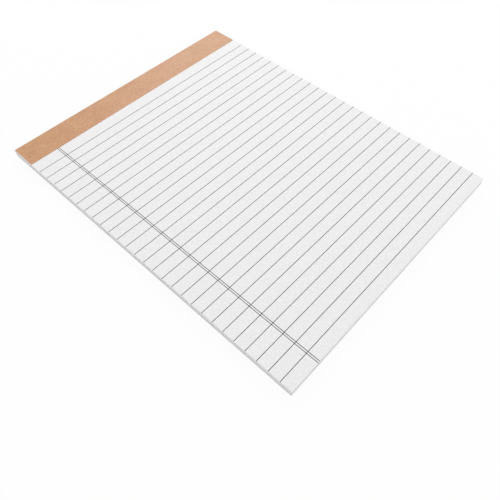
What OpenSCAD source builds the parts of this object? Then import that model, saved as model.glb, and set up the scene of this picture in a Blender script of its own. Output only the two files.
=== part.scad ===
// Ruled notepad: a block of sheets on a stiff board, stapled near the head and bound there
// by a strip of kraft tape that is folded over the top edge.
// X runs across the sheet, Y runs up the sheet to the bound head, and Z is up.
// The origin is the middle of the underside, where the pad rests.

/* [Sheets] */
// Width of a sheet
sheet_w = 209.6; // [140:0.1:300]
// Length of a sheet, from the foot to the bound head
sheet_l = 267.4; // [180:0.1:420]
// Thickness of the block of sheets
block_t = 4.7; // [2:0.1:12]

/* [Backing board] */
// Thickness of the board under the sheets
board_t = 1; // [0.8:0.05:2.5]

/* [Binding tape] */
// Thickness of the tape
tape_t = 0.2; // [0.1:0.05:0.4]
// Reach of the tape from the head down the face of the top sheet
front_flap = 21.6; // [14:0.1:40]
// Reach of the tape from the head down the back of the board
back_flap = 20; // [14:0.1:40]

/* [Ruling] */
// Distance from one rule to the next
rule_pitch = 8.73; // [5:0.01:12]
// Distance from the tape to the first rule
first_rule_gap = 10.4; // [4:0.1:40]
// Least space left below the last rule
foot_gap = 6; // [2:0.5:40]
// Distance from the left edge to the middle of the two margin lines
margin_x = 23.2; // [10:0.1:60]
// Distance from one margin line to the other
margin_gap = 1.4; // [1:0.1:4]
// Width of every printed line
line_w = 0.4; // [0.2:0.05:0.8]
// Thickness of the film of ink
ink_t = 0.03; // [0.01:0.01:0.05]

/* [Staples] */
// Number of staples along the head
staple_count = 3; // [2:1:5]
// Distance from each side of the pad to the middle of the nearest staple
staple_edge = 32; // [15:1:50]
// Distance from the head to the line of staples
staple_inset = 8; // [4:0.5:11]
// Width of a staple over its two legs
crown_w = 12; // [8:0.5:20]
// Diameter of the staple wire
wire_d = 0.5; // [0.4:0.05:0.7]

/* [Hidden] */
$fn = 48;

// Play round a leg in its hole, and between the wire and the tape that covers it
leg_play = 0.02;
// Play round the bent wire where it is pressed into paper and board
bed_play = 0.05;
// Share of the staple's width that each clinched end takes
clinch_share = 0.35;
// Overrun of a cut past the face that it opens
overrun = 1;

// Levels and edges of the stack
stack_t = board_t + block_t;
pad_l = sheet_l + tape_t;
left_x = -sheet_w / 2;
foot_y = -pad_l / 2;
head_y = foot_y + sheet_l;

// Places of the printed lines
tape_edge_y = head_y - front_flap;
first_rule_y = tape_edge_y - first_rule_gap;
rule_count = 1 + floor((first_rule_y - foot_y - foot_gap) / rule_pitch);

// Centre line of a staple's wire: crown, legs, bends and clinched ends
bend_r = wire_d;
crown_z = stack_t - leg_play - wire_d / 2;
clinch_z = tape_t + leg_play + wire_d / 2;
leg_x = (crown_w - wire_d) / 2;
bend_x = leg_x - bend_r;
clinch_end_x = crown_w / 2 - clinch_share * crown_w;
staple_pitch = (sheet_w - 2 * staple_edge) / (staple_count - 1);

// Puts its children at every staple's place along the head
module along_head() {
    for (i = [0 : staple_count - 1])
        translate([left_x + staple_edge + i * staple_pitch, head_y - staple_inset, 0])
            children();
}

// Quarter turn of wire in the XZ plane, from its centre's +X side to its +Z side
module wire_bend() {
    rotate([90, 0, 0])
        rotate_extrude(angle = 90)
            translate([bend_r, 0])
                circle(d = wire_d);
}

// Straight wire along +X
module wire_run(length) {
    rotate([0, 90, 0])
        cylinder(h = length, d = wire_d);
}

// One staple, closed: the crown lies on the sheets and the ends are clinched under the board
module staple() {
    translate([-bend_x, 0, crown_z])
        wire_run(2 * bend_x);
    for (side = [0, 1])
        mirror([side, 0, 0]) {
            translate([bend_x, 0, crown_z - bend_r])
                wire_bend();
            translate([leg_x, 0, clinch_z + bend_r])
                cylinder(h = crown_z - clinch_z - 2 * bend_r, d = wire_d);
            translate([bend_x, 0, clinch_z + bend_r])
                mirror([0, 0, 1])
                    wire_bend();
            translate([clinch_end_x, 0, clinch_z])
                wire_run(bend_x - clinch_end_x);
        }
}

// Groove for a run of wire from x0 to x1 that opens upwards from the height z0
module wire_groove(x0, x1, z0, depth) {
    groove_w = wire_d + 2 * bed_play;
    translate([x0, -groove_w / 2, z0])
        cube([x1 - x0, groove_w, depth]);
}

// Room for one staple: grooves for the crown and the clinched ends, and holes for the legs
module staple_bed() {
    reach = wire_d / 2 + bed_play;
    outer_x = leg_x + reach;
    bend_depth = bend_r + reach + overrun;
    wire_groove(-bend_x, bend_x, crown_z - reach, 2 * reach + overrun);
    for (side = [0, 1])
        mirror([side, 0, 0]) {
            wire_groove(bend_x, outer_x, crown_z - bend_r, bend_depth);
            translate([leg_x, 0, clinch_z])
                cylinder(h = crown_z - clinch_z, d = wire_d + 2 * leg_play);
            wire_groove(bend_x, outer_x, clinch_z + bend_r - bend_depth, bend_depth);
            wire_groove(clinch_end_x - bed_play, bend_x, clinch_z - reach - overrun, 2 * reach + overrun);
        }
}

// Section of the tape, with the head of the sheets at x = 0 and the underside at y = 0
module tape_section() {
    translate([-front_flap, stack_t])
        square([front_flap, tape_t]);
    translate([0, tape_t])
        square([tape_t, stack_t - tape_t]);
    translate([-back_flap, 0])
        square([back_flap, tape_t]);
    translate([0, stack_t])
        tape_fold();
    translate([0, tape_t])
        mirror([0, 1])
            tape_fold();
}

// Section of a fold: the tape turns round the sharp edge of the stack
module tape_fold() {
    intersection() {
        circle(r = tape_t);
        square(tape_t);
    }
}

// All the sheets as one block, holed for the staples
module page_block() {
    color("#eeeeec")
        difference() {
            translate([left_x, foot_y, board_t])
                cube([sheet_w, sheet_l, block_t]);
            along_head() staple_bed();
        }
}

// Rules from edge to edge and the two margin lines, as one film of ink on the top sheet
module ruled_lines() {
    color("#303030")
        translate([left_x, foot_y, stack_t])
            linear_extrude(ink_t) {
                for (i = [0 : rule_count - 1])
                    translate([0, first_rule_y - foot_y - i * rule_pitch - line_w / 2])
                        square([sheet_w, line_w]);
                for (side = [-1, 1])
                    translate([margin_x + side * margin_gap / 2 - line_w / 2, 0])
                        square([line_w, tape_edge_y - foot_y]);
            }
}

// Stiff board under the sheets, pressed in by the tape's thickness where the back flap lies
module backing_board() {
    color("#d0cec9")
        difference() {
            translate([left_x, foot_y, 0])
                cube([sheet_w, sheet_l, board_t]);
            translate([left_x - overrun, head_y - back_flap, -overrun])
                cube([sheet_w + 2 * overrun, back_flap + overrun, tape_t + overrun]);
            along_head() staple_bed();
        }
}

// One strip of tape, folded from the top sheet over the head to the back of the board
module binding_tape() {
    color("#d2a582")
        translate([left_x, head_y, 0])
            rotate([90, 0, 90])
                linear_extrude(sheet_w)
                    tape_section();
}

// Wire staples through sheets and board, hidden under the tape
module staples() {
    color("silver")
        along_head() staple();
}

page_block();
ruled_lines();
backing_board();
binding_tape();
staples();
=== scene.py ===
# %% [markdown]
# # A ruled notepad
# The pad is a block of white ruled sheets on a stiff board, bound along its head by a folded strip
# of tan kraft tape. The solid pieces come from CAD at their real size. This lesson dresses them:
# it swaps the plain block for a stack of single sheets, gives every piece the finish of its real
# material, and lights the pad as a plain product picture.

# %% Load the solid pieces
import math
import random

import bpy
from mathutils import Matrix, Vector


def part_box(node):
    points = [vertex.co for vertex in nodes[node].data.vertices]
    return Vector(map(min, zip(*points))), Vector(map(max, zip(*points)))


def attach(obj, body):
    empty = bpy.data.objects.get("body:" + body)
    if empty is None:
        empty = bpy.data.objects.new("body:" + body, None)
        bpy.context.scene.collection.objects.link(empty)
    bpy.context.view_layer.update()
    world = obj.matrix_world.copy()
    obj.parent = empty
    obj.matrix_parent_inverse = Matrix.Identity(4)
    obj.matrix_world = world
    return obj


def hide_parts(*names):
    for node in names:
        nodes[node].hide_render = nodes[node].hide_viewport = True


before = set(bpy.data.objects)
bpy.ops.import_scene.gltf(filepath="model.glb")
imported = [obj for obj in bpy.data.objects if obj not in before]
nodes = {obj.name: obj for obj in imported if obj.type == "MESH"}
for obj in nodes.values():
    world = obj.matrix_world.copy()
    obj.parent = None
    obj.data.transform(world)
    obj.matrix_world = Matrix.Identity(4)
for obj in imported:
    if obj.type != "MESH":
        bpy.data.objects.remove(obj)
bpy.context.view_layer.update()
# Blender works in metres, and most of the sizes below are given in millimetres
MM = 0.001
print("pieces:", sorted(nodes))

# %% [markdown]
# ## Camera
# The picture looks down on the pad from beyond its left foot corner. A short lens close to the pad
# gives the strong perspective: the near corner is large and the taped head runs away from it.
# A camera could be turned by three angles, but they are hard to read. This one is aimed at a point
# on the top sheet, and the lamps are aimed in the same way further down.

# %% Camera
CAMERA_AT = Vector((-187.3, -179.8, 271.4)) * MM
CAMERA_AIM = Vector((-52.3, -54.5, 5.7)) * MM
LENS_MM = 36.5
NEAREST_SEEN = 10 * MM


def point_at(thing, target):
    """Turn a camera or a lamp, which both look along their own -Z, towards a point."""
    thing.rotation_euler = (target - thing.location).to_track_quat("-Z", "Y").to_euler()


camera_data = bpy.data.cameras.new("camera")
camera_data.lens = LENS_MM
camera_data.clip_start = NEAREST_SEEN
camera = bpy.data.objects.new("camera", camera_data)
camera.location = CAMERA_AT
point_at(camera, CAMERA_AIM)
bpy.context.scene.collection.objects.link(camera)
bpy.context.scene.camera = camera
print("camera is", round((CAMERA_AIM - CAMERA_AT).length / MM), "mm from the sheet")

# %% [markdown]
# ## Sizes that the finishes follow
# Sizes typed here again would go wrong when the solid pieces change, so the sheets and the print are
# measured on those pieces. Each rule runs off the left edge of the sheet, so the corners of the print
# on that edge come in pairs, one pair for each rule, and the middle of a pair is the rule's place.
# The margin lines run off the foot of the sheet and are found there in the same way.

# %% Measure the print
X, Y = 0, 1
NEAR_MM = 0.01
block_low, block_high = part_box("page_block")
print_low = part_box("ruled_lines")[0] / MM
corners = [v.co / MM for v in nodes["ruled_lines"].data.vertices]


def measure_lines(along, across):
    """Middles and width, in millimetres, of the printed lines that run off one edge of the sheet."""
    found = sorted(c[along] for c in corners if c[across] - print_low[across] < NEAR_MM)
    sides = [b for a, b in zip([-math.inf] + found, found) if b - a > NEAR_MM]
    middles = [(low + high) / 2 for low, high in zip(sides[::2], sides[1::2])]
    return middles, sides[1] - sides[0]


rules_mm, line_mm = measure_lines(Y, X)
margins_mm, _ = measure_lines(X, Y)
pitch_mm = (rules_mm[-1] - rules_mm[0]) / (len(rules_mm) - 1)
margin_gap_mm = margins_mm[1] - margins_mm[0]
print(len(rules_mm), "rules,", round(pitch_mm, 2), "mm apart and", round(line_mm, 2), "mm wide")
print(len(margins_mm), "margin lines,", round(margin_gap_mm, 2), "mm apart")

# %% [markdown]
# ## Colours and nodes
# Every finish below is a small graph of shader nodes. It could be wired by hand in the editor, but a
# script can be read and run again. One function turns a colour as it is picked on a screen into the
# linear light that Blender works in. Another adds a node: it sets the node's options, fills or links
# its inputs, and gives back its outputs. The patterns are drawn in millimetres: each finish starts
# from the surface's own place in millimetres, so that a noise with grains about 4 mm across has a
# scale of 1 / 4.

# %% Colours


def linear(hex_colour):
    """An sRGB hex colour as linear red, green, blue and alpha, by the sRGB standard's formula."""
    levels = [int(hex_colour[i:i + 2], 16) / 255 for i in (1, 3, 5)]
    return [c / 12.92 if c <= 0.04045 else ((c + 0.055) / 1.055) ** 2.4 for c in levels] + [1.0]


print("the mid grey #808080 is", round(linear("#808080")[0], 3), "in linear light")

# %% Nodes


def add(owner, kind, inputs=None, **options):
    """Add one node to a material or world, with its options and its inputs, and give its outputs."""
    made = owner.node_tree.nodes.new("ShaderNode" + kind)
    for name, value in options.items():
        setattr(made, name, value)
    for name, value in (inputs or {}).items():
        if isinstance(value, bpy.types.NodeSocket):
            owner.node_tree.links.new(value, made.inputs[name])
        else:
            made.inputs[name].default_value = value
    return made.outputs


def clear_nodes(owner):
    """Give a material or world an empty graph of nodes."""
    owner.use_nodes = True
    owner.node_tree.nodes.clear()
    return owner


def start_finish(name):
    """An empty material, and the socket that gives a surface's place in millimetres."""
    material = clear_nodes(bpy.data.materials.new(name))
    place = add(material, "TexCoord")["Object"]
    return material, add(material, "VectorMath", {0: place, "Scale": 1 / MM}, operation="SCALE")[0]


paper, place = start_finish("writing_paper")
print("started:", paper.name, "with", len(paper.node_tree.nodes), "nodes")

# %% [markdown]
# ## Writing paper
# The sheets are uncoated white writing paper, made of short fibres that settle a little thicker here
# and thinner there. From arm's length it is an even white with a soft grain, and close up the fibre
# tooth breaks the light up. On the cut sides every sheet has a tone of its own, and the printed
# lines, which run off the sheet, leave a faint mark there. A picture could show all of this, but
# noise drawn in millimetres stays sharp at any distance.

# %% Paper: the face of a sheet
# The real grain and tooth are finer than a view of the whole pad can show, so both are drawn coarser
GRAIN_MM = 0.9
TOOTH_MM = 0.4
PAPER_DARK, PAPER_PALE = linear("#e8e8e8"), linear("#f7f7f7")
# Noise seldom leaves this span, so stretching the span uses the whole range between two colours
NOISE_LOW, NOISE_HIGH = 0.3, 0.7
# A Mix node has sockets for every kind of data, and these are the numbers of those for colours
SHARE, COLOUR_A, COLOUR_B, MIXED = 0, 6, 7, 2

grain = add(
    paper, "TexNoise", {"Vector": place, "Scale": 1 / GRAIN_MM, "Detail": 3.0, "Roughness": 0.6}
)[0]
density = add(
    paper, "MapRange", {"Value": grain, "From Min": NOISE_LOW, "From Max": NOISE_HIGH}
)[0]
face = add(
    paper, "Mix", {SHARE: density, COLOUR_A: PAPER_DARK, COLOUR_B: PAPER_PALE}, data_type="RGBA"
)[MIXED]
tooth = add(paper, "TexNoise", {"Vector": place, "Scale": 1 / TOOTH_MM, "Detail": 3.0})[0]
print("paper: a grain of", GRAIN_MM, "mm and a tooth of", TOOTH_MM, "mm")

# %% Paper: the cut edges
SHEETS = 50
STREAK_MM = 12.0
EDGE_DARK, EDGE_PALE = linear("#dfdfdf"), linear("#f5f5f5")
sheet_pitch = (block_high.z - block_low.z) / SHEETS

# The tone changes from sheet to sheet and wanders slowly along each one
streak_size = (STREAK_MM, STREAK_MM, sheet_pitch / MM)
streak_place = add(paper, "VectorMath", {0: place, 1: streak_size}, operation="DIVIDE")[0]
streaks = add(paper, "TexNoise", {"Vector": streak_place, "Scale": 1.0, "Detail": 2.0})[0]
edge_tone = add(
    paper, "MapRange", {"Value": streaks, "From Min": NOISE_LOW, "From Max": NOISE_HIGH}
)[0]
edge = add(
    paper, "Mix", {SHARE: edge_tone, COLOUR_A: EDGE_DARK, COLOUR_B: EDGE_PALE}, data_type="RGBA"
)[MIXED]
print("edges:", SHEETS, "sheets of", round(sheet_pitch / MM, 3), "mm")

# %% [markdown]
# ### Ends of the printed lines
# Every sheet is ruled, so the ends of its lines show on the cut edges, stronger on one sheet than on
# the next. As pieces of their own they would be thousands of tiny marks. Two kinds of Math node draw
# them all in the paper's finish instead: Wrap folds the places along the pad into one pitch about the
# nearest rule, and Compare gives 1 where its first value lies within the third of the second.

# %% Paper: line ends on the cut edges
MARK = linear("#b4b4b4")
half_line = line_mm / 2
half_pitch = pitch_mm / 2
ruling_middle = (rules_mm[0] + rules_mm[-1]) / 2
ruling_reach = (rules_mm[-1] - rules_mm[0] + half_pitch) / 2
margin_middle = sum(margins_mm) / len(margins_mm)

pad_place = add(paper, "SeparateXYZ", {0: place})
from_first = add(paper, "Math", {0: pad_place["Y"], 1: rules_mm[-1]}, operation="SUBTRACT")[0]
from_rule = add(paper, "Math", {0: from_first, 1: half_pitch, 2: -half_pitch}, operation="WRAP")[0]
on_rule = add(paper, "Math", {0: from_rule, 1: 0.0, 2: half_line}, operation="COMPARE")[0]
in_ruling = add(
    paper, "Math", {0: pad_place["Y"], 1: ruling_middle, 2: ruling_reach}, operation="COMPARE"
)[0]
rule_end = add(paper, "Math", {0: on_rule, 1: in_ruling}, operation="MULTIPLY")[0]
from_margin = add(paper, "Math", {0: pad_place["X"], 1: margin_middle}, operation="SUBTRACT")[0]
either_side = add(paper, "Math", {0: from_margin}, operation="ABSOLUTE")[0]
margin_end = add(
    paper, "Math", {0: either_side, 1: margin_gap_mm / 2, 2: half_line}, operation="COMPARE"
)[0]
line_end = add(paper, "Math", {0: rule_end, 1: margin_end}, operation="MAXIMUM")[0]
faint_end = add(paper, "Math", {0: line_end, 1: edge_tone}, operation="MULTIPLY")[0]
marked_edge = add(
    paper, "Mix", {SHARE: faint_end, COLOUR_A: edge, COLOUR_B: MARK}, data_type="RGBA"
)[MIXED]
print("line ends:", len(rules_mm), "on each side and", len(margins_mm), "at the foot of every sheet")

# %% Paper: the surface
PAPER_SMOOTH, PAPER_ROUGH = 0.55, 0.75
TOOTH_DEPTH = 0.02 * MM
# Paper and board are both cellulose, and this is how strongly it bends light
CELLULOSE_IOR = 1.5
# A face whose normal points up or down by more than this is the sheet, and any other is a cut edge
LEAST_UPRIGHT = 0.5


def close_finish(material, inputs):
    """Close a material with one surface shader that has the given inputs."""
    surface = add(material, "BsdfPrincipled", inputs)[0]
    add(material, "OutputMaterial", {"Surface": surface})


normal = add(paper, "NewGeometry")["True Normal"]
upright = add(paper, "SeparateXYZ", {0: normal})["Z"]
up_or_down = add(paper, "Math", {0: upright}, operation="ABSOLUTE")[0]
is_face = add(paper, "Math", {0: up_or_down, 1: LEAST_UPRIGHT}, operation="GREATER_THAN")[0]
colour = add(
    paper, "Mix", {SHARE: is_face, COLOUR_A: marked_edge, COLOUR_B: face}, data_type="RGBA"
)[MIXED]
roughness = add(
    paper, "MapRange", {"Value": tooth, "To Min": PAPER_SMOOTH, "To Max": PAPER_ROUGH}
)[0]
relief = add(paper, "Bump", {"Height": tooth, "Strength": 0.25, "Distance": TOOTH_DEPTH})[0]
close_finish(
    paper, {"Base Color": colour, "Roughness": roughness, "Normal": relief, "IOR": CELLULOSE_IOR}
)
print("paper:", len(paper.node_tree.nodes), "nodes")

# %% [markdown]
# ## The stack of sheets
# A cut pad is never one clean block: each sheet sits a hair in or out, and the eye reads those steps
# as pages. A striped picture on a plain box would be quicker, but its sides would stay flat. Here
# every sheet is a thin closed slab, drawn back from the block's sides by a small random amount at
# each corner. The top sheet fills the block's outline, because the print runs to its edges. It is a
# piece of its own, so that a texture painted or baked for it later isn't shared with hidden sheets.
# Both pieces ride on the pad's one body and stand for the plain block, which is hidden.

# %% Outlines of the sheets
JOG = 0.12 * MM
# Share of the jog that the corners may add one by one, which turns a sheet a little
TURN_SHARE = 0.25
# Gap between one sheet and the next
AIR = 0.006 * MM
SEED = 5
chance = random.Random(SEED)


def sheet_outline(jog):
    """Corners of one sheet, anticlockwise from the left foot, each drawn in by up to the jog."""
    inwards = [(1, 1), (-1, 1), (-1, -1), (1, -1)]
    block_corners = [
        (block_low.x, block_low.y),
        (block_high.x, block_low.y),
        (block_high.x, block_high.y),
        (block_low.x, block_high.y),
    ]
    slip_x, slip_y = chance.uniform(0, jog), chance.uniform(0, jog)
    turn = jog * TURN_SHARE
    return [
        (x + in_x * (slip_x + chance.uniform(0, turn)), y + in_y * (slip_y + chance.uniform(0, turn)))
        for (x, y), (in_x, in_y) in zip(block_corners, inwards)
    ]


stack = []
for i in range(SHEETS):
    is_top = i == SHEETS - 1
    outline = sheet_outline(0 if is_top else JOG)
    over = block_low.z + (i + 1) * sheet_pitch
    stack.append((outline, over - sheet_pitch + AIR, over))
print("sheets:", len(stack), "with steps of up to", round(JOG * (1 + TURN_SHARE) / MM, 2), "mm")

# %% Slabs from the outlines
# Each slab has its four lower corners first, then the four upper ones
SLAB_FACES = [(3, 2, 1, 0), (4, 5, 6, 7), (0, 1, 5, 4), (1, 2, 6, 5), (2, 3, 7, 6), (3, 0, 4, 7)]


def dress(piece, material):
    """Give a piece one material."""
    piece.data.materials.clear()
    piece.data.materials.append(material)


def add_sheets(name, sheets):
    """One piece of closed slabs, from the outline, underside and upper side of each sheet."""
    points, faces = [], []
    for outline, under, over in sheets:
        faces += [tuple(len(points) + k for k in quad) for quad in SLAB_FACES]
        points += [(x, y, z) for z in (under, over) for x, y in outline]
    mesh = bpy.data.meshes.new(name)
    mesh.from_pydata(points, [], faces)
    piece = bpy.data.objects.new(name, mesh)
    bpy.context.scene.collection.objects.link(piece)
    dress(piece, paper)
    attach(piece, "root")
    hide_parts("page_block")
    print(name + ":", len(faces), "faces")
    return piece


sheet_stack = add_sheets("sheet_stack", stack[:-1])
add_sheets("top_sheet", stack[-1:])

# %% [markdown]
# ### A map for the cut edges
# A copy of the pad for other programs can't keep the nodes, so its finish is baked into a picture,
# and a UV map lays that picture on the faces. Blender can make the map by itself, but it gives every
# face room by its area: the hidden faces of the sheets would get the whole picture, and the cut edges
# only a blur. Here each cut edge has a strip of its own across the picture, next to the strip of the
# sheet above, and all the hidden faces share the last strip.

# %% Map for the cut edges
# The bake looks for a map of this name
MAP_NAME = "OFBake"
# The first faces of a slab are its lower and upper side, and the others are its cut edges
BROAD_FACES = 2
# Corners of a strip, in the order in which a face of a slab lists its own
STRIP_CORNERS = [(0, 0), (1, 0), (1, 1), (0, 1)]

under_top = SHEETS - 1
strips = (len(SLAB_FACES) - BROAD_FACES) * under_top + 1
strip_map = sheet_stack.data.uv_layers.new(name=MAP_NAME)
for face in sheet_stack.data.polygons:
    sheet, kind = divmod(face.index, len(SLAB_FACES))
    is_edge = kind >= BROAD_FACES
    strip = (kind - BROAD_FACES) * under_top + sheet if is_edge else strips - 1
    for corner, (u, v) in zip(face.loop_indices, STRIP_CORNERS):
        strip_map.uv[corner].vector = (u, (strip + v) / strips)
print("map:", strips, "strips for", len(sheet_stack.data.polygons), "faces")

# %% [markdown]
# ## Printing ink
# The rules are printed in black ink that soaks into the paper, so it dries matt, a little short of
# black, and patchy where the fibres took less of it. From a step away the thin lines read as grey.
# Lines in the paper's own finish would do for a picture, but the film of ink is a solid piece
# already, so it only needs a finish of its own.

# %% Printing ink
# The patches follow the fibres, and like them they are drawn coarser than they are, so that they show
INK_PATCH_MM = 0.5
INK_DARK, INK_PALE = linear("#262626"), linear("#3c3c3c")
INK_ROUGH = 0.7
INK_IOR = 1.5

ink, place = start_finish("black_printing_ink")
patches = add(ink, "TexNoise", {"Vector": place, "Scale": 1 / INK_PATCH_MM, "Detail": 3.0})[0]
colour = add(
    ink, "Mix", {SHARE: patches, COLOUR_A: INK_DARK, COLOUR_B: INK_PALE}, data_type="RGBA"
)[MIXED]
close_finish(ink, {"Base Color": colour, "Roughness": INK_ROUGH, "IOR": INK_IOR})
dress(nodes["ruled_lines"], ink)
print("ink:", ink.name, "with patches of", INK_PATCH_MM, "mm")

# %% [markdown]
# ## Kraft tape
# The binding is unbleached kraft paper tape. Its brown pulp lies mostly along the strip, with pale
# hair-like fibres curling over it and a few dark flecks of bark, and its pressed face has a satin
# sheen that catches the light towards the far end. A picture of kraft paper would have to repeat
# along a strip this long, and noise never does. The pulp is noise stretched along the strip. The
# hairs are the crests of a wave pattern that is bent out of shape, kept only where the pulp is pale,
# which breaks them into short curls.

# %% Kraft: the pulp
# Fibres, flecks and hairs are all drawn coarser than those of real kraft paper, so that they show
FIBRE_MM = (1.7, 0.8, 0.8)
BLOTCH_MM = 9.0
BLOTCH_SHARE = 0.25
KRAFT_DARK, KRAFT_PALE = linear("#b78055"), linear("#d4a177")

kraft, place = start_finish("kraft_paper_tape")
along_strip = add(kraft, "VectorMath", {0: place, 1: FIBRE_MM}, operation="DIVIDE")[0]
fibres = add(
    kraft, "TexNoise", {"Vector": along_strip, "Scale": 1.0, "Detail": 4.0, "Roughness": 0.65}
)[0]
strands = add(
    kraft, "MapRange", {"Value": fibres, "From Min": NOISE_LOW, "From Max": NOISE_HIGH}
)[0]
pulp = add(
    kraft, "Mix", {SHARE: strands, COLOUR_A: KRAFT_DARK, COLOUR_B: KRAFT_PALE}, data_type="RGBA"
)[MIXED]
blotches = add(kraft, "TexNoise", {"Vector": place, "Scale": 1 / BLOTCH_MM, "Detail": 3.0})[0]
clouded = add(
    kraft,
    "Mix",
    {SHARE: BLOTCH_SHARE, COLOUR_A: pulp, COLOUR_B: blotches},
    data_type="RGBA",
    blend_type="SOFT_LIGHT",
)[MIXED]
print("kraft:", kraft.name, "with fibres of", FIBRE_MM[0], "by", FIBRE_MM[1], "mm")

# %% Kraft: pale hairs
HAIR_GAP_MM = 1.4
HAIR_COLOUR = linear("#e2bb95")
# Height of the wave, out of 1, from which its crest is a hair
HAIR_FROM = 0.96
# A wave pattern repeats after pi / 10 of its own units
WAVE_PERIOD = math.pi / 10

bent_lines = {"Distortion": 16.0, "Detail": 2.0, "Detail Scale": 1.5}
waves = add(
    kraft, "TexWave", {"Vector": place, "Scale": WAVE_PERIOD / HAIR_GAP_MM, **bent_lines}
)["Fac"]
crests = add(kraft, "MapRange", {"Value": waves, "From Min": HAIR_FROM})[0]
hairs = add(kraft, "Math", {0: crests, 1: strands}, operation="MULTIPLY")[0]
hairy = add(
    kraft, "Mix", {SHARE: hairs, COLOUR_A: clouded, COLOUR_B: HAIR_COLOUR}, data_type="RGBA"
)[MIXED]
print("hairs:", HAIR_GAP_MM, "mm apart")

# %% Kraft: flecks of bark
FLECK_MM = (1.6, 0.6, 0.6)
FLECK_COLOUR = linear("#8f6040")
# Noise from which a fleck begins and at which it is full, and the share of the pulp that it covers
FLECK_FROM, FLECK_FULL = 0.68, 0.74
FLECK_COVER = 0.35

fleck_place = add(kraft, "VectorMath", {0: place, 1: FLECK_MM}, operation="DIVIDE")[0]
bark = add(kraft, "TexNoise", {"Vector": fleck_place, "Scale": 1.0, "Detail": 1.0})[0]
flecks = add(
    kraft,
    "MapRange",
    {"Value": bark, "From Min": FLECK_FROM, "From Max": FLECK_FULL, "To Max": FLECK_COVER},
)[0]
colour = add(
    kraft, "Mix", {SHARE: flecks, COLOUR_A: hairy, COLOUR_B: FLECK_COLOUR}, data_type="RGBA"
)[MIXED]
print("flecks:", FLECK_MM[0], "by", FLECK_MM[1], "mm")

# %% Kraft: the surface
KRAFT_SMOOTH, KRAFT_ROUGH = 0.38, 0.54
FIBRE_HEIGHT = 0.03 * MM

roughness = add(
    kraft, "MapRange", {"Value": fibres, "To Min": KRAFT_SMOOTH, "To Max": KRAFT_ROUGH}
)[0]
relief = add(kraft, "Bump", {"Height": fibres, "Strength": 0.3, "Distance": FIBRE_HEIGHT})[0]
close_finish(
    kraft, {"Base Color": colour, "Roughness": roughness, "Normal": relief, "IOR": CELLULOSE_IOR}
)
dress(nodes["binding_tape"], kraft)
print("kraft:", len(kraft.node_tree.nodes), "nodes")

# %% [markdown]
# ## Backing board
# The back is pale greyboard, pressed from waste paper pulp. It is cloudy where the pulp settled,
# scraps of darker paper show in it as small flecks, and its face is rough and quite matt. Plain noise
# alone would look like stone. The flecks come from a Voronoi pattern, which spreads points and
# measures the distance to the nearest one: a fleck is the ground near its point, and only one point
# in four gets a fleck. Noise pushes the ground about first, so that the flecks are ragged, not round.

# %% Board: the pulp
GRIT_MM = 0.3
CLOUD_MM = 7.0
CLOUD_SHARE = 0.2
BOARD_DARK, BOARD_PALE = linear("#c6c4c0"), linear("#dcdad6")

board, place = start_finish("recycled_greyboard")
grit = add(board, "TexNoise", {"Vector": place, "Scale": 1 / GRIT_MM, "Detail": 4.0})[0]
pulp = add(
    board, "Mix", {SHARE: grit, COLOUR_A: BOARD_DARK, COLOUR_B: BOARD_PALE}, data_type="RGBA"
)[MIXED]
clouds = add(board, "TexNoise", {"Vector": place, "Scale": 1 / CLOUD_MM, "Detail": 3.0})[0]
clouded = add(
    board,
    "Mix",
    {SHARE: CLOUD_SHARE, COLOUR_A: pulp, COLOUR_B: clouds},
    data_type="RGBA",
    blend_type="SOFT_LIGHT",
)[MIXED]
print("board:", board.name, "with a grit of", GRIT_MM, "mm and clouds of", CLOUD_MM, "mm")

# %% Board: flecks of darker paper
SCRAP_GAP_MM = 1.5
SCRAP_SHARE = 0.25
SCRAP_COLOUR = linear("#8f8c86")
# Distance from its point, in gaps, at which a fleck ends and within which it is full, and its cover
SCRAP_RIM, SCRAP_CORE = 0.36, 0.2
SCRAP_COVER = 0.5
RAGGED_MM = 0.6
PUSH_MM = (2.0, 2.0, 2.0)

push = add(board, "TexNoise", {"Vector": place, "Scale": 1 / RAGGED_MM, "Detail": 2.0})["Color"]
pushed = add(board, "VectorMath", {0: push, 1: PUSH_MM, 2: place}, operation="MULTIPLY_ADD")[0]
scraps = add(board, "TexVoronoi", {"Vector": pushed, "Scale": 1 / SCRAP_GAP_MM})
from_point = scraps["Distance"]
near_point = add(
    board,
    "MapRange",
    {"Value": from_point, "From Min": SCRAP_RIM, "From Max": SCRAP_CORE, "To Max": SCRAP_COVER},
)[0]
# Each point has a random colour, and one channel of it serves as the point's lot
lot = add(board, "SeparateXYZ", {0: scraps["Color"]})["X"]
has_fleck = add(board, "Math", {0: lot, 1: SCRAP_SHARE}, operation="LESS_THAN")[0]
flecks = add(board, "Math", {0: near_point, 1: has_fleck}, operation="MULTIPLY")[0]
colour = add(
    board, "Mix", {SHARE: flecks, COLOUR_A: clouded, COLOUR_B: SCRAP_COLOUR}, data_type="RGBA"
)[MIXED]
print("flecks: on", SCRAP_SHARE, "of the points, which are", SCRAP_GAP_MM, "mm apart")

# %% Board: the surface
BOARD_ROUGH = 0.85
GRIT_HEIGHT = 0.05 * MM

relief = add(board, "Bump", {"Height": grit, "Strength": 0.5, "Distance": GRIT_HEIGHT})[0]
close_finish(
    board, {"Base Color": colour, "Roughness": BOARD_ROUGH, "Normal": relief, "IOR": CELLULOSE_IOR}
)
dress(nodes["backing_board"], board)
print("board:", len(board.node_tree.nodes), "nodes")

# %% [markdown]
# ## Staple wire
# The staples are bright galvanised steel wire. Drawing the wire through its die leaves fine lines
# along it, so the gloss is a little uneven. A photograph of wire would need unwrapping round every
# bend, so the lines are noise stretched along the crown, the longest run of each staple. The staples
# are hidden under the tape.

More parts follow.
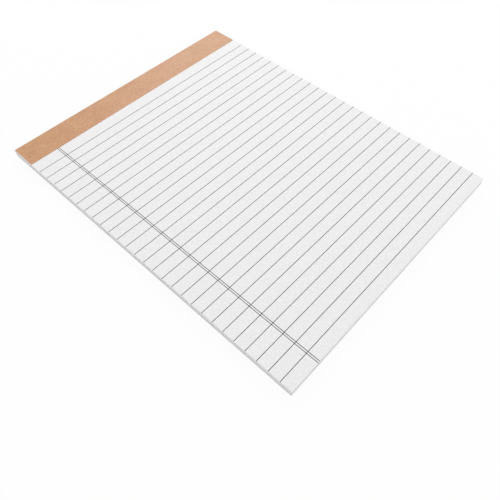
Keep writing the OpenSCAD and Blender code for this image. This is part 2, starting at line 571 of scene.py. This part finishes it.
# %% Staple wire
# The lines of a die are finer than this, and are drawn as coarse as a close view needs to show them
DIE_LINE_MM = (3.0, 0.1, 0.1)
STEEL = linear("#b9bcbe")
WIRE_SMOOTH, WIRE_ROUGH = 0.25, 0.45

wire, place = start_finish("galvanised_steel_wire")
along_crown = add(wire, "VectorMath", {0: place, 1: DIE_LINE_MM}, operation="DIVIDE")[0]
die_lines = add(wire, "TexNoise", {"Vector": along_crown, "Scale": 1.0, "Detail": 2.0})[0]
roughness = add(
    wire, "MapRange", {"Value": die_lines, "To Min": WIRE_SMOOTH, "To Max": WIRE_ROUGH}
)[0]
close_finish(wire, {"Base Color": STEEL, "Metallic": 1.0, "Roughness": roughness})
dress(nodes["staples"], wire)
print("wire:", wire.name, "with lines of", DIE_LINE_MM[1], "mm")

# %% [markdown]
# ## White floor
# The pad lies on a white floor that runs out of the picture. A plain white floor renders as light
# grey, and more light would burn out the paper. So the floor glows, but only for rays that show it:
# straight to the camera, in a reflection or through glass. All other light meets a matt white floor.
# A tenth of the matt floor stays in what is seen, which keeps the soft shadow at the pad's foot.

# %% Floor
FLOOR_WIDTH = 6000 * MM
# The floor lies a hair low, so that it doesn't share a plane with the pad's underside
FLOOR_DROP = 0.02 * MM
FLOOR_GLOW = 0.9
MATT_WHITE, WHITE = linear("#fafafa"), linear("#ffffff")


def shows_surroundings(owner):
    """A socket that is 1 for the rays in which the floor or the world is seen."""
    rays = add(owner, "LightPath")
    seen = add(
        owner, "Math", {0: rays["Is Camera Ray"], 1: rays["Is Glossy Ray"]}, operation="MAXIMUM"
    )[0]
    return add(owner, "Math", {0: seen, 1: rays["Is Transmission Ray"]}, operation="MAXIMUM")[0]


bpy.ops.mesh.primitive_plane_add(size=FLOOR_WIDTH, location=(0, 0, -FLOOR_DROP))
floor = bpy.context.object
floor.name = "floor"
white = clear_nodes(bpy.data.materials.new("white_floor"))
seen = shows_surroundings(white)
glow_share = add(white, "Math", {0: seen, 1: FLOOR_GLOW}, operation="MULTIPLY")[0]
matt = add(white, "BsdfDiffuse", {"Color": MATT_WHITE})[0]
glow = add(white, "Emission", {"Color": WHITE, "Strength": 1.0})[0]
mixed = add(white, "MixShader", {0: glow_share, 1: matt, 2: glow})[0]
add(white, "OutputMaterial", {"Surface": mixed})
dress(floor, white)
print("floor:", white.name, "with a glow of", FLOOR_GLOW)

# %% [markdown]
# ## Light
# Light comes evenly from all round, as in a white tent: the world lights the pad a little below full
# white and shows as full white. Even light alone would leave the pad flat. A soft panel beyond the
# far right corner makes that end of the pad a little brighter and gives the tape its sheen. A weaker,
# lower one on the right lights the foot, so that the left side is the darkest.

# %% White tent
TENT_LIGHT = 0.84
TENT_SEEN = 1.0

world = clear_nodes(bpy.data.worlds.new("white_tent"))
seen = shows_surroundings(world)
strength = add(world, "MapRange", {"Value": seen, "To Min": TENT_LIGHT, "To Max": TENT_SEEN})[0]
sky = add(world, "Background", {"Color": WHITE, "Strength": strength})[0]
add(world, "OutputWorld", {"Surface": sky})
bpy.context.scene.world = world
print("world:", world.name, "with a strength of", TENT_LIGHT)

# %% Soft panels
# Place and width in metres, power in watts
PANELS = {
    "far_panel": {"at": (0.72, 0.86, 0.68), "width": 0.66, "watts": 3.8},
    "near_panel": {"at": (0.7, -0.7, 0.3), "width": 0.5, "watts": 1.15},
}
PAD_MIDDLE = Vector((0, 0, 0))

for name, panel in PANELS.items():
    lamp_data = bpy.data.lights.new(name, "AREA")
    lamp_data.shape = "SQUARE"
    lamp_data.size = panel["width"]
    lamp_data.energy = panel["watts"]
    lamp = bpy.data.objects.new(name, lamp_data)
    lamp.location = panel["at"]
    point_at(lamp, PAD_MIDDLE)
    bpy.context.scene.collection.objects.link(lamp)
    print(name + ":", panel["watts"], "W")

# %% [markdown]
# ## View
# Blender's usual view softens bright colours and would turn white paper grey. The plain Standard view
# keeps colours as they were picked.

# %% Finish
bpy.context.scene.view_settings.view_transform = "Standard"
